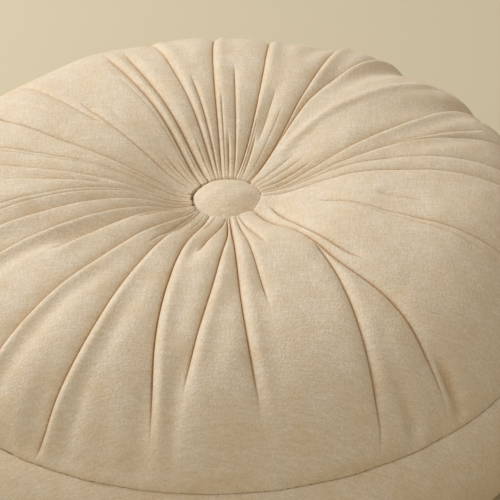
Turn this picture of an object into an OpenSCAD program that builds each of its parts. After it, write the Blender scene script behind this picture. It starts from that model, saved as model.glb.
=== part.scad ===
// Round gathered seat cushion, tufted through its centre with a covered button on each face.
// +Z is up. The origin is the middle of the resting plane, on the cushion's axis.

/* [Cushion] */
// Overall diameter, across the bulge of the side band
cushion_d = 400; // [340:5:460]
// How far the side band bulges past its two rim seams
band_bulge = 12; // [6:1:18]
// Height of the side band between its rim seams
band_h = 64; // [50:1:90]
// Height of the top face's crown above the top rim seam
top_rise = 58; // [48:1:76]
// Height of the bottom rim seam above the resting plane
bottom_rise = 36; // [30:1:50]
// Diameter of the ring where the top face is highest
crown_d = 176; // [150:2:200]
// Inner diameter of the flat ring that the cushion rests on
rest_in_d = 124; // [100:2:150]
// Outer diameter of the flat ring that the cushion rests on
rest_out_d = 236; // [200:2:260]

/* [Tuft] */
// How far the top button's seat lies below the crown
top_tuft = 25; // [16:1:36]
// How far the bottom button's seat lies above the resting plane
bottom_tuft = 24; // [16:1:27]
// Diameter of the hole that the draw threads gather the faces to
gather_d = 18; // [14:1:24]
// Diameter of the tufting cord
cord_d = 1.8; // [1.2:0.1:1.9]

/* [Button] */
// Diameter of a covered button
button_d = 38; // [34:1:45]
// Height of the button's dome above its rim
dome_h = 5.5; // [4:0.5:8]

/* [Cloth] */
// Thickness of the velvet
velvet_t = 1.6; // [1:0.1:2]
// Thickness of the inner lining
lining_t = 0.6; // [0.4:0.1:0.8]
// Width of the seam allowance turned inside
allowance = 7; // [5:0.5:8]
// Diameter of the sewing thread
thread_d = 0.8; // [0.5:0.1:0.9]

/* [Hidden] */

velvet_colour = "#d8c6a6";
lining_colour = "#f2f0ea";
fill_colour = "#fbfbf8";
thread_colour = "#a98f66";
metal_colour = "#b9bcc0";
cord_colour = "#e6dcc4";

round_fn = 96;
wire_fn = 24;

// Main levels and radii
seam_r = cushion_d / 2 - band_bulge;
crown_r = crown_d / 2;
button_r = button_d / 2;
gather_r = gather_d / 2;
bottom_seam_z = bottom_rise;
top_seam_z = bottom_rise + band_h;
crown_z = top_seam_z + top_rise;
top_seat_z = crown_z - top_tuft;
bottom_seat_z = bottom_tuft;
mid_z = (bottom_seam_z + top_seam_z) / 2;

// Fullness of the faces between crown and rim: the two exponents of their curve
fall_power = 3;
roll_power = 0.7;

// The gap at a rim seam that holds its thread
seam_gap = thread_d + 0.2;

// Clearance between layers that lie on each other
layer_gap = 0.4;
lining_inset = velvet_t + layer_gap;
fill_inset = lining_inset + lining_t + layer_gap;

// Where the seam allowances press into the lining and the filling
dent_depth = allowance + 5;
dent_width = 4;

// The channel that the cord and the shanks run through
channel_r = 4;

// The arc of the side band's bulge, from its chord and its sagitta
band_arc_r = (pow(band_h / 2, 2) + pow(band_bulge, 2)) / (2 * band_bulge);
band_half_angle = asin(band_h / 2 / band_arc_r);
band_arc_x = seam_r + band_bulge - band_arc_r;

// Where the band's ends are joined, and the gap that the join's thread closes
join_angle = 258;
join_gap_angle = 2 * asin(seam_gap / 2 / seam_r);
join_stitches = 14;

// The opening that is sewn shut by hand once the cushion is filled
closing_mid_angle = 90;
closing_span_angle = 40;
closing_count = 18;

// Button: its dome, rim and hem, and the shell and the plate inside it
button_cloth_t = 1;
rim_h = 4;
hem_r = button_r - 5;
dome_r = button_r - 1;
dome_arc_r = (pow(dome_r, 2) + pow(dome_h, 2)) / (2 * dome_h);
skirt_r = button_r - button_cloth_t - 0.6;
shell_t = 0.6;
plate_t = 0.8;
plate_gap = 0.1;
neck_r = 3.6;

// Shank: a wire loop under the button, and the bar that holds it above the back plate
wire_r = 0.6;
loop_r = 2.6;
loop_drop = 3.6;
bar_length = 12;
bar_z = button_cloth_t + plate_gap + plate_t + wire_r + 0.1;

// The cord's turn round the loop's wire, and its knot
turn_r = wire_r + cord_d / 2 + 0.1;
knot_turns = 3;
knot_r = 1.3;

// Height of the top face's outer surface at radius r
function top_z(r) =
    r <= button_r ? top_seat_z
    : r <= crown_r ? top_seat_z + top_tuft * sin(90 * (r - button_r) / (crown_r - button_r))
    : top_seam_z + top_rise * roll_off((r - crown_r) / (seam_r - crown_r));

// Height of the bottom face's outer surface at radius r
function bottom_z(r) =
    r <= button_r ? bottom_seat_z
    : r <= rest_in_d / 2 ? bottom_seat_z * (1 - sin(90 * (r - button_r) / (rest_in_d / 2 - button_r)))
    : r <= rest_out_d / 2 ? 0
    : bottom_rise * (1 - roll_off((r - rest_out_d / 2) / (seam_r - rest_out_d / 2)));

// A shoulder that falls from 1 to 0 as t goes from 0 to 1, level at first and steep at the end
function roll_off(t) = pow(1 - pow(min(t, 1), fall_power), roll_power);

// Radii from a to b, closer together towards b
function radii(a, b, steps) = [for (i = [0 : steps]) a + (b - a) * sin(90 * i / steps)];

function reversed(list) = [for (i = [len(list) - 1 : -1 : 0]) list[i]];

// Outer outline of the top face, from radius start to the rim seam
function top_curve(start) = concat(
    [[start, top_seat_z]],
    [for (r = radii(button_r, crown_r, 10)) [r, top_z(r)]],
    [for (r = radii(crown_r, seam_r, 18)) if (r > crown_r) [r, top_z(r)]]);

// Outer outline of the side band, from its top seam to its bottom seam
band_curve = [
    for (i = [0 : 16])
        let (a = band_half_angle * (1 - i / 8))
        [band_arc_x + band_arc_r * cos(a), mid_z + band_arc_r * sin(a)]
];

// Outer outline of the bottom face, from the rim seam to radius stop
function bottom_curve(stop) = concat(
    [for (r = reversed(radii(rest_out_d / 2, seam_r, 16))) [r, bottom_z(r)]],
    [for (r = reversed(radii(button_r, rest_in_d / 2, 10))) [r, bottom_z(r)]],
    [[stop, bottom_seat_z]]);

// Unit normal at point i of an outline, into the cushion
function inward(line, i) =
    let (step = line[min(i + 1, len(line) - 1)] - line[max(i - 1, 0)])
    [step.y, -step.x] / norm(step);

// An outline moved into the cushion by depth
function inset(line, depth) = [for (i = [0 : len(line) - 1]) line[i] + depth * inward(line, i)];

// How deep the seam allowances press at height z
function dent(z) = dent_depth * (nearness(z, top_seam_z) + nearness(z, bottom_seam_z));

// 1 where z is at a seam, falling to 0 a few dent widths away
function nearness(z, seam_z) = exp(-pow((z - seam_z) / dent_width, 2));

// A line with each point that repeats the one before it left out
function without_repeats(line) = [
    for (i = [0 : len(line) - 1])
        if (i == 0 || norm(line[i] - line[i - 1]) > 0.01) line[i]
];

// The whole cushion's outline, moved in by depth and pressed in at both rim seams
function pad_curve(depth) =
    let (line = concat(top_curve(channel_r), band_curve, bottom_curve(channel_r)),
         clean = without_repeats(line))
    [
        for (i = [0 : len(clean) - 1])
            let (p = clean[i], at_rim = p.x > rest_out_d / 2)
            p + depth * inward(clean, i) - [at_rim ? dent(p.y) : 0, 0]
    ];

// True where z is clear of both levels
function between(z, low, high) = z > low + 0.2 && z < high - 0.2;

module spin(points) {
    rotate_extrude($fn = round_fn) polygon(points);
}

module ring(radius, thickness, z) {
    translate([0, 0, z])
        rotate_extrude($fn = round_fn)
            translate([radius, 0])
                circle(r = thickness / 2, $fn = wire_fn);
}

// A face of velvet: its outer and inner lines, both from the centre outwards, and its allowance turned
// in at the seam. side is 1 above the seam and -1 below it
module face_section(outer, inner, seam_z, side) {
    near = seam_z + side * seam_gap / 2;
    far = near + side * velvet_t;
    outside = [for (p = outer) if (side * (p.y - near) > 0.2) p];
    inside = [for (p = inner) if (side * (p.y - far) > 0.2) p];
    polygon(concat(
        outside,
        [[seam_r, near], [seam_r - allowance, near], [seam_r - allowance, far]],
        reversed(inside)));
}

module top_panel() {
    line = top_curve(gather_r);
    color(velvet_colour)
        rotate_extrude($fn = round_fn)
            face_section(line, inset(line, velvet_t), top_seam_z, 1);
}

module bottom_panel() {
    line = bottom_curve(gather_r);
    color(velvet_colour)
        rotate_extrude($fn = round_fn)
            face_section(reversed(line), reversed(inset(line, velvet_t)), bottom_seam_z, -1);
}

module side_band() {
    top_near = top_seam_z - seam_gap / 2;
    bottom_near = bottom_seam_z + seam_gap / 2;
    inner_r = seam_r - allowance;
    outside = [for (p = band_curve) if (between(p.y, bottom_near, top_near)) p];
    inside = [
        for (p = inset(band_curve, velvet_t))
            if (between(p.y, bottom_near + velvet_t, top_near - velvet_t)) p
    ];
    color(velvet_colour)
        rotate([0, 0, join_angle + join_gap_angle / 2])
            rotate_extrude(angle = 360 - join_gap_angle, $fn = round_fn)
                polygon(concat(
                    [[inner_r, top_near], [seam_r, top_near]],
                    outside,
                    [[seam_r, bottom_near], [inner_r, bottom_near], [inner_r, bottom_near + velvet_t]],
                    reversed(inside),
                    [[inner_r, top_near - velvet_t]]));
}

module top_seam_thread() {
    color(thread_colour) ring(seam_r - 1, thread_d, top_seam_z);
}

module bottom_seam_thread() {
    color(thread_colour)
        rotate([0, 0, closing_mid_angle + closing_span_angle / 2])
            translate([0, 0, bottom_seam_z])
                rotate_extrude(angle = 360 - closing_span_angle, $fn = round_fn)
                    translate([seam_r - 1, 0])
                        circle(r = thread_d / 2, $fn = wire_fn);
}

// Short stitches that draw the two folded edges together, one after another along the seam
module closing_stitches() {
    pitch_angle = closing_span_angle / (closing_count + 1);
    stitch_length = 0.6 * pitch_angle * PI / 180 * seam_r;
    color(thread_colour)
        for (i = [1 : closing_count])
            rotate([0, 0, closing_mid_angle - closing_span_angle / 2 + i * pitch_angle])
                translate([seam_r - 1, 0, bottom_seam_z])
                    rotate([90, 0, 0])
                        cylinder(h = stitch_length, r = thread_d / 2, center = true, $fn = wire_fn);
}

// Stitches up the join of the band's two ends, along its bulge
module band_join_thread() {
    pitch_angle = 2 * band_half_angle / (join_stitches + 1);
    stitch_length = 0.65 * pitch_angle * PI / 180 * band_arc_r;
    color(thread_colour)
        rotate([0, 0, join_angle])
            for (i = [1 : join_stitches])
                let (a = i * pitch_angle - band_half_angle)
                    translate([band_arc_x, 0, mid_z])
                        rotate([0, -a, 0])
                            translate([band_arc_r - velvet_t / 2, 0, 0])
                                cylinder(h = stitch_length, r = thread_d / 2, center = true, $fn = wire_fn);
}

module top_gather_thread() {
    color(thread_colour) ring(gather_r - thread_d / 2 - 0.1, thread_d, top_seat_z - velvet_t / 2);
}

module bottom_gather_thread() {
    color(thread_colour) ring(gather_r - thread_d / 2 - 0.1, thread_d, bottom_seat_z + velvet_t / 2);
}

// Places a button's piece on the top seat, or upside down on the bottom seat
module on_top() {
    translate([0, 0, top_seat_z]) children();
}

module on_bottom() {
    translate([0, 0, bottom_seat_z]) rotate([180, 0, 0]) children();
}

// The dome's line from the middle out to radius stop, moved into the button by depth
function dome_line(depth, stop) = [
    for (i = [0 : 10])
        let (r = stop * i / 10)
        [r, rim_h + dome_h - dome_arc_r + sqrt(pow(dome_arc_r - depth, 2) - pow(r, 2))]
];

// Outer line of the button, from its middle over the dome and round the rim to its hem
button_curve = concat(
    dome_line(0, dome_r),
    [[button_r - 0.3, rim_h - 0.6], [button_r, rim_h - 1.6]],
    [[button_r - 0.3, rim_h - 2.8], [button_r - 0.8, 0]]);

module button_cover() {
    inner = inset(button_curve, button_cloth_t);
    under = [for (p = inner) if (p.y > button_cloth_t + 0.2 && p.x > 0) p];
    color(velvet_colour)
        spin(concat(
            button_curve,
            [[hem_r, 0], [hem_r, button_cloth_t], [skirt_r + plate_gap, button_cloth_t]],
            reversed(under),
            [[0, rim_h + dome_h - button_cloth_t]]));
}

// The domed cap inside the velvet, down to the foot of its skirt
module button_shell() {
    skirt_z = button_cloth_t + plate_gap;
    outer = dome_line(button_cloth_t + plate_gap, skirt_r - 0.6);
    inner = dome_line(button_cloth_t + plate_gap + shell_t, skirt_r - shell_t - 0.4);
    color(metal_colour)
        spin(concat(
            outer,
            [[skirt_r, rim_h - 1.4], [skirt_r, skirt_z]],
            [[skirt_r - shell_t, skirt_z], [skirt_r - shell_t, rim_h - 1.8]],
            reversed(inner)));
}

// The plate that clamps the hem inside the shell, with a hole for the shank
module button_back() {
    color(metal_colour)
        translate([0, 0, button_cloth_t + plate_gap])
            difference() {
                cylinder(h = plate_t, r = skirt_r - shell_t - plate_gap, $fn = round_fn);
                translate([0, 0, -1]) cylinder(h = plate_t + 2, r = neck_r, $fn = round_fn);
            }
}

module button_shank() {
    color(metal_colour) union() {
        translate([0, 0, loop_r - loop_drop])
            rotate([90, 0, 0])
                rotate([0, 0, 180])
                    rotate_extrude(angle = 180, $fn = round_fn)
                        translate([loop_r, 0])
                            circle(r = wire_r, $fn = wire_fn);
        for (side = [-1, 1])
            translate([side * loop_r, 0, loop_r - loop_drop])
                cylinder(h = bar_z - loop_r + loop_drop, r = wire_r, $fn = wire_fn);
        translate([0, 0, bar_z])
            rotate([0, 90, 0])
                cylinder(h = bar_length, r = wire_r, center = true, $fn = wire_fn);
    }
}

// A doubled cord that turns round both shanks, drawn tight and knotted above the bottom one
module tufting_cord() {
    high = top_seat_z - loop_drop;
    low = bottom_seat_z + loop_drop;
    color(cord_colour) union() {
        for (side = [-1, 1])
            translate([0, side * turn_r, low])
                cylinder(h = high - low, r = cord_d / 2, $fn = wire_fn);
        for (end = [[high, 0], [low, 180]])
            translate([0, 0, end[0]])
                rotate([end[1], 0, 0])
                    rotate([90, 0, 90])
                        rotate_extrude(angle = 180, $fn = round_fn)
                            translate([turn_r, 0])
                                circle(r = cord_d / 2, $fn = wire_fn);
        for (i = [0 : knot_turns - 1])
            translate([0, 0, low + 8 + 1.6 * knot_r * i])
                rotate_extrude($fn = round_fn)
                    translate([turn_r, 0])
                        circle(r = knot_r, $fn = wire_fn);
    }
}

// One half of the lining, above or below the seam at mid height
module lining_half(side) {
    outer = [for (p = pad_curve(lining_inset)) if (side * (p.y - mid_z) > 0.5) p];
    inner = [for (p = pad_curve(lining_inset + lining_t)) if (side * (p.y - mid_z) > 0.5) p];
    color(lining_colour) spin(concat(outer, reversed(inner)));
}

module lining_thread() {
    waist_r = seam_r + band_bulge - lining_inset - lining_t / 2;
    color(thread_colour) ring(waist_r, 0.5, mid_z);
}

module fibre_fill() {
    color(fill_colour) spin(pad_curve(fill_inset));
}

top_panel();
bottom_panel();
side_band();
top_seam_thread();
bottom_seam_thread();
band_join_thread();
closing_stitches();
top_gather_thread();
bottom_gather_thread();
on_top() button_cover();  // top_button_cover
on_top() button_shell();  // top_button_shell
on_top() button_back();  // top_button_back
on_top() button_shank();  // top_button_shank
on_bottom() button_cover();  // bottom_button_cover
on_bottom() button_shell();  // bottom_button_shell
on_bottom() button_back();  // bottom_button_back
on_bottom() button_shank();  // bottom_button_shank
tufting_cord();
lining_half(1);  // lining_top
lining_half(-1);  // lining_bottom
lining_thread();
fibre_fill();
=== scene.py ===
"""A round seat cushion of gathered velvet, tufted through its middle with a covered button on each face.

The cushion is built from the pieces that a maker sews: two gathered faces, a side band, two covered
buttons, the stitches, the lining and the fibre inside. Shapes are worked out in millimetres, round the
cushion's axis: an angle of 0 degrees is +X, 90 is +Y (the back) and 270 is -Y (the front).
"""

import logging
import math
from dataclasses import dataclass, field
from enum import Enum

import bpy
import numpy as np
from mathutils import Matrix, Vector


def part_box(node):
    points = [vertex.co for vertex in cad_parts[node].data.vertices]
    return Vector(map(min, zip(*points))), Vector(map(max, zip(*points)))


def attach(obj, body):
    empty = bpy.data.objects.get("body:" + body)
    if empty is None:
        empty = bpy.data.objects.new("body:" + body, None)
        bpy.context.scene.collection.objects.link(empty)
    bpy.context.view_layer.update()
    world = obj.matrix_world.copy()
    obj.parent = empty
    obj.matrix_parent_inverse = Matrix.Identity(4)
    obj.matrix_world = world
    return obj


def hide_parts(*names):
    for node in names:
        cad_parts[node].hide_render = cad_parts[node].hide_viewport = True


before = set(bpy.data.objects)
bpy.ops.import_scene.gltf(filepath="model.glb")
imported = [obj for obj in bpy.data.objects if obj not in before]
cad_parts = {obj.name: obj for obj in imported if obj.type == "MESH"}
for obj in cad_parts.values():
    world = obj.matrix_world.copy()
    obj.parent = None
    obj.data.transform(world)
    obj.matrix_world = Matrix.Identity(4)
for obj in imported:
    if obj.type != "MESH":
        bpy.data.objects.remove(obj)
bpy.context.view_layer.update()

LOG = logging.getLogger("seat_pad")
MM = 0.001
ROOT = "root"
SEED = 19


# ---------------------------------------------------------------- meshes


def node_box(name: str) -> tuple[Vector, Vector]:
    """Corners of a CAD node's box, in millimetres."""
    low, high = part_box(name)
    return low / MM, high / MM


def make_piece(name: str, points: np.ndarray, faces: list[np.ndarray]) -> bpy.types.Object:
    """Makes a smooth-shaded mesh object whose place is in its mesh.

    Args:
        name: the piece's name.
        points: an array of N points in millimetres.
        faces: arrays of corner numbers, each of one kind of polygon (M by 3 or M by 4).

    Returns:
        The new object, linked to the scene.
    """
    mesh = bpy.data.meshes.new(name)
    corners = np.concatenate([f.ravel() for f in faces]).astype(np.int32)
    sizes = np.concatenate([np.full(len(f), f.shape[1]) for f in faces]).astype(np.int32)
    mesh.vertices.add(len(points))
    mesh.vertices.foreach_set("co", (points * MM).astype(np.float32).ravel())
    mesh.loops.add(len(corners))
    mesh.loops.foreach_set("vertex_index", corners)
    mesh.polygons.add(len(sizes))
    mesh.polygons.foreach_set("loop_start", np.concatenate([[0], np.cumsum(sizes)[:-1]]).astype(np.int32))
    mesh.polygons.foreach_set("use_smooth", np.ones(len(sizes), bool))
    mesh.update(calc_edges=True)
    mesh.validate()
    piece = bpy.data.objects.new(name, mesh)
    bpy.context.scene.collection.objects.link(piece)
    return piece


def paint(piece: bpy.types.Object, name: str, values: np.ndarray) -> None:
    """Stores one number for each of a piece's points as a named attribute, which its material reads."""
    attribute = piece.data.attributes.new(name, "FLOAT", "POINT")
    attribute.data.foreach_set("value", values.astype(np.float32).ravel())


def ring_quads(rows: int, columns: int, first: int = 0, flip: bool = False) -> np.ndarray:
    """Quads of a grid whose last column joins its first.

    Args:
        rows: how many rows of points the grid has.
        columns: how many points are in a row.
        first: the number of the grid's first point.
        flip: whether the faces point the other way.

    Returns:
        An array of quads.
    """
    row = np.arange(rows - 1)[:, None] * columns
    here = np.arange(columns)[None, :]
    after = (here + 1) % columns
    quads = np.stack([row + here, row + columns + here, row + columns + after, row + after], -1).reshape(-1, 4)
    return first + (quads[:, ::-1] if flip else quads)


def pole_fan(pole: int, ring: np.ndarray, flip: bool = False) -> np.ndarray:
    """Triangles that close a ring of points onto one point."""
    after = np.roll(ring, -1)
    fan = np.stack([np.full(len(ring), pole), ring, after], -1)
    return fan[:, ::-1] if flip else fan


def closed_tube(count: int, sides: int) -> np.ndarray:
    """Quads of a tube of count rings of points, whose last ring joins its first."""
    return ring_quads(count + 1, sides, flip=True) % (count * sides)


def full_turn(count: int) -> np.ndarray:
    """Angles of count even steps round a ring, in radians, as a row."""
    return np.linspace(0, 2 * np.pi, count, endpoint=False)[None, :]


def ring_points(r: np.ndarray, turn: np.ndarray, z: np.ndarray) -> np.ndarray:
    """Points at radii, angles and heights that are spread over one grid."""
    return np.stack(np.broadcast_arrays(r * np.cos(turn), r * np.sin(turn), z + 0 * turn), -1)


def thread_rings(centre: np.ndarray, turn: np.ndarray, z: float, thread_r: float, sides: int) -> np.ndarray:
    """Points of a thread at height z: at each angle, a small upright circle round the centre's radius."""
    circle = full_turn(sides)
    return ring_points(centre + thread_r * np.cos(circle), turn, z + thread_r * np.sin(circle))


def sheet_with_back(front: np.ndarray, thickness: float) -> tuple[np.ndarray, list[np.ndarray]]:
    """Gives a ring-shaped sheet a back and two edges, so that it is a closed piece of cloth.

    The back has every second row and column of the front, moved against the front's normals by the
    cloth's thickness. The front's two border rings are joined to the back's by a strip.

    Args:
        front: rows by columns of points, rows odd in number and columns even, facing outwards.
        thickness: the cloth's thickness.

    Returns:
        The points, and the faces.
    """
    rows, columns, _ = front.shape
    back = (front - thickness * grid_normals(front))[::2, ::2]
    back_rows, half = back.shape[:2]
    offset = rows * columns
    faces = [ring_quads(rows, columns), ring_quads(back_rows, half, offset, flip=True)]
    for row, back_row, flip in ((0, 0, True), (rows - 1, back_rows - 1, False)):
        here = np.arange(half)
        inner = offset + back_row * half + here
        inner_next = offset + back_row * half + (here + 1) % half
        a = row * columns + 2 * here
        b = a + 1
        c = row * columns + (2 * here + 2) % columns
        strip = [np.stack(t, -1) for t in ((a, inner, b), (b, inner, inner_next), (b, inner_next, c))]
        faces += [t[:, ::-1] if flip else t for t in strip]
    return np.concatenate([front.reshape(-1, 3), back.reshape(-1, 3)]), faces


def grid_normals(points: np.ndarray) -> np.ndarray:
    """Unit normals of a ring-shaped grid: the cross product of its steps along a row and down a column.

    Args:
        points: rows by columns of points, whose columns close into a ring.

    Returns:
        One normal for each point, on the side its quads face.
    """
    around = np.roll(points, -1, 1) - np.roll(points, 1, 1)
    along = np.gradient(points, axis=0)
    normal = np.cross(along, around)
    return normal / np.maximum(np.linalg.norm(normal, axis=2, keepdims=True), 1e-9)


def smooth_step(x: np.ndarray, low: float, high: float) -> np.ndarray:
    """0 below low, 1 above high, and a smooth S between them."""
    t = np.clip((x - low) / (high - low), 0, 1)
    return t * t * (3 - 2 * t)


def bell(x: np.ndarray) -> np.ndarray:
    """1 at 0, falling smoothly on both sides: e to the minus x squared."""
    return np.exp(-(x**2))


def across(degrees: np.ndarray, middle: np.ndarray, r: np.ndarray) -> np.ndarray:
    """Distance round the circle of radius r from the middle angle, below 0 on its clockwise side."""
    return np.radians((degrees - middle + 180) % 360 - 180) * r


def waves(seed: int, x: np.ndarray, y: np.ndarray, longest: float, shortest: float, count: int = 14) -> np.ndarray:
    """Soft unevenness from -1 to 1: a mean of plane waves of many directions and lengths.

    Args:
        seed: chooses the waves.
        x: the points' first coordinate.
        y: the points' second coordinate.
        longest: the longest wave.
        shortest: the shortest wave.
        count: how many waves.

    Returns:
        The unevenness at each point.
    """
    dice = np.random.default_rng(seed)
    total = np.zeros(np.broadcast(x, y).shape)
    for _ in range(count):
        turn, phase = dice.uniform(0, 2 * np.pi, 2)
        length = longest * (shortest / longest) ** dice.uniform(0, 1)
        total += np.sin(2 * np.pi * (x * np.cos(turn) + y * np.sin(turn)) / length + phase)
    return total / math.sqrt(count)


# ---------------------------------------------------------------- outline


@dataclass(frozen=True)
class PadOutline:
    """The cushion's smooth outline, which every soft piece keeps to, in millimetres."""

    seam_r: float
    band_r: float
    button_r: float
    top_seam_z: float
    crown_z: float
    top_seat_z: float
    bottom_seam_z: float
    bottom_seat_z: float
    crown_r: float = 88.0
    rest_in_r: float = 62.0
    rest_out_r: float = 118.0
    gather_r: float = 9.0
    seam_gap: float = 0.1
    fall_power: float = 3.0
    roll_power: float = 0.7
    hug_h: float = 4.8
    hug_length: float = 15.0
    waist_share: float = 0.9
    waist_length: float = 7.0
    sway_x: float = -4.8

    @classmethod
    def from_frame(cls) -> "PadOutline":
        """Takes the levels and radii from the boxes of the CAD nodes."""
        top_thread, bottom_thread = node_box("top_seam_thread"), node_box("bottom_seam_thread")
        return cls(
            seam_r=node_box("top_panel")[1].x,
            band_r=node_box("side_band")[1].x,
            button_r=node_box("top_button_cover")[1].x,
            top_seam_z=(top_thread[0].z + top_thread[1].z) / 2,
            crown_z=node_box("top_panel")[1].z,
            top_seat_z=node_box("top_button_cover")[0].z,
            bottom_seam_z=(bottom_thread[0].z + bottom_thread[1].z) / 2,
            bottom_seat_z=node_box("bottom_button_cover")[1].z,
        )

    @property
    def middle_z(self) -> float:
        """Height midway between the two rim seams."""
        return (self.top_seam_z + self.bottom_seam_z) / 2

    def roll_off(self, t: np.ndarray) -> np.ndarray:
        """A shoulder from 1 to 0: one less t to the fall power, all to the roll power."""
        return (1 - np.clip(t, 0, 1) ** self.fall_power) ** self.roll_power

    def top_z(self, r: np.ndarray) -> np.ndarray:
        """Height of the top face: a quarter sine wave up to the crown, then the shoulder to the seam."""
        rise = np.sin(np.pi / 2 * np.clip((r - self.button_r) / (self.crown_r - self.button_r), 0, 1))
        tuft = self.top_seat_z + (self.crown_z - self.top_seat_z) * rise
        fall = self.roll_off((r - self.crown_r) / (self.seam_r - self.crown_r))
        return np.where(r <= self.crown_r, tuft, self.top_seam_z + (self.crown_z - self.top_seam_z) * fall)

    def bottom_z(self, r: np.ndarray) -> np.ndarray:
        """Height of the bottom face: a quarter sine wave down to the rest ring, flat, then up to the seam."""
        rise = np.sin(np.pi / 2 * np.clip((r - self.button_r) / (self.rest_in_r - self.button_r), 0, 1))
        fall = self.roll_off((r - self.rest_out_r) / (self.seam_r - self.rest_out_r))
        return np.where(r <= self.rest_in_r, self.bottom_seat_z * (1 - rise), self.bottom_seam_z * (1 - fall))

    def band_line(self, along: np.ndarray) -> np.ndarray:
        """The side band's arc from its top seam (0) to its bottom seam (1): radius and height.

        The arc stands on the chord between the seams, and its sagitta is the band's bulge.
        """
        half = (self.top_seam_z - self.bottom_seam_z) / 2
        bulge = self.band_r - self.seam_r
        radius = (half**2 + bulge**2) / (2 * bulge)
        angle = math.asin((half - self.seam_gap / 2) / radius) * (1 - 2 * along)
        middle = self.middle_z
        return np.stack([self.band_r - radius + radius * np.cos(angle), middle + radius * np.sin(angle)], -1)

    def sway(self, points: np.ndarray) -> np.ndarray:
        """Leans the rim to one side of the button, as on a hand-filled cushion.

        X moves by the sway times an S-curve of the radius, from the tuft to near the rim, times an
        S-curve of the height, from the bottom seam to the top seam.

        Args:
            points: points in millimetres.

        Returns:
            The moved points.
        """
        share = smooth_step(np.hypot(points[..., 0], points[..., 1]), 25, 150)
        share = share * smooth_step(points[..., 2], self.bottom_seam_z, self.top_seam_z)
        return points + (self.sway_x * share)[..., None] * np.array([1.0, 0.0, 0.0])

    def face_line(self, top: bool, rows: int, start: float) -> np.ndarray:
        """Points of a face's outline at even steps along it, from the middle out to the rim seam.

        Round the button the cloth hugs it: a rise that falls off with e to the minus distance over a length.

        Args:
            top: whether it is the top face.
            rows: how many points.
            start: radius of the first point.

        Returns:
            Radius and height of each point.
        """
        r = start + (self.seam_r - start) * np.sin(np.linspace(0, np.pi / 2, 8000))
        z = self.top_z(r) if top else self.bottom_z(r)
        past = np.maximum(r - self.button_r, 0)
        hug = self.hug_h * smooth_step(r - self.button_r, -1.0, 0.1) * np.exp(-past / self.hug_length)
        z = z + hug * (1 if top else -1)
        edge = self.top_seam_z + self.seam_gap / 2 if top else self.bottom_seam_z - self.seam_gap / 2
        z = np.maximum(z, edge) if top else np.minimum(z, edge)
        length = np.concatenate([[0], np.cumsum(np.hypot(np.diff(r), np.diff(z)))])
        even = np.linspace(0, length[-1], rows)
        return np.stack([np.interp(even, length, r), np.interp(even, length, z)], -1)

    def inset_line(self, top: bool, rows: int, start: float, depth: float) -> np.ndarray:
        """A face's outline with half of the band's, moved into the cushion.

        At the rim seam it keeps further in, by a bell curve of the height.

        Args:
            top: whether it is the top half.
            rows: how many points.
            start: radius where it begins.
            depth: how far it lies inside the cushion's outline.

        Returns:
            Radius and height of each point, from the middle out to the band's mid height.
        """
        face = self.face_line(top, rows, start)
        band = self.band_line(np.linspace(0, 0.5, rows // 3) if top else np.linspace(1, 0.5, rows // 3))
        line = np.concatenate([face, band[1:]])
        step = np.gradient(line, axis=0)
        side = np.stack([step[:, 1], -step[:, 0]], -1) * (1 if top else -1)
        inset = line + depth * side / np.maximum(np.linalg.norm(side, axis=1, keepdims=True), 1e-9)
        seam_z = self.top_seam_z if top else self.bottom_seam_z
        waist = depth * self.waist_share * bell((line[:, 1] - seam_z) / self.waist_length)
        inset[:, 0] = np.maximum(inset[:, 0] - waist * (line[:, 0] > self.rest_out_r), start)
        inset[-1, 1] = self.middle_z
        return inset


# ---------------------------------------------------------------- gathers


class Fold(Enum):
    """How a crease is drawn in: its depth, the reach of its rounded sides, and the depth of its slit."""

    DEEP = (5.2, 12.5, 0.8)
    STRONG = (4.0, 9.5, 0.65)
    THIN = (2.4, 6.5, 0.45)
    FAINT = (1.1, 4.5, 0.2)
    SOFT = (2.0, 11.0, 0.0)
    RIDGE = (-1.4, 7.0, 0.0)
    GATHER = (1.5, 3.2, 0.3)


@dataclass(frozen=True)
class Crease:
    """One crease: its angles at the button, the crown and the rim, and the radii where it starts and ends.

    A bow is how many degrees it swings out between the crown and the rim.
    """

    fold: Fold
    button: float
    crown: float
    rim: float
    start: float = 12.0
    end: float = 200.0
    share: float = 1.0
    bow: float = 0.0

    def angle(self, r: np.ndarray, outline: PadOutline) -> np.ndarray:
        """Its angle at radius r: a parabola in the radius's logarithm, through its three angles."""
        q = np.log(np.maximum(r, 8.0))
        a, b, c = (math.log(v) for v in (outline.button_r, outline.crown_r, outline.seam_r))
        outer = np.clip((r - outline.crown_r) / (outline.seam_r - outline.crown_r), 0, 1)
        return (
            self.button * (q - b) * (q - c) / ((a - b) * (a - c))
            + self.crown * (q - a) * (q - c) / ((b - a) * (b - c))
            + self.rim * (q - a) * (q - b) / ((c - a) * (c - b))
            + self.bow * np.sin(np.pi * outer) ** 2
        )

    def strength(self, r: np.ndarray) -> np.ndarray:
        """How much of its depth it has at radius r: it grows in and fades out smoothly."""
        fade = max(7.0, 0.13 * (self.end - self.start))
        grown = smooth_step(r, self.start - 4, self.start + 6) * (0.4 + 0.6 * smooth_step(r, 18, 32))
        return self.share * grown * (1 - smooth_step(r, self.end - fade, self.end + 6))


@dataclass(frozen=True)
class Hollow:
    """A soft hollow beside a crease, at an angle and a radius, with its half sizes across and along.

    Its tone is how much painted shade lies at its bottom.
    """

    angle: float
    radius: float
    across: float
    along: float
    depth: float
    # painted shade at the hollow's bottom, as a share of the crease colour
    tone: float = 0.0


D, S, T, F, O, R = Fold.DEEP, Fold.STRONG, Fold.THIN, Fold.FAINT, Fold.SOFT, Fold.RIDGE

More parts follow.
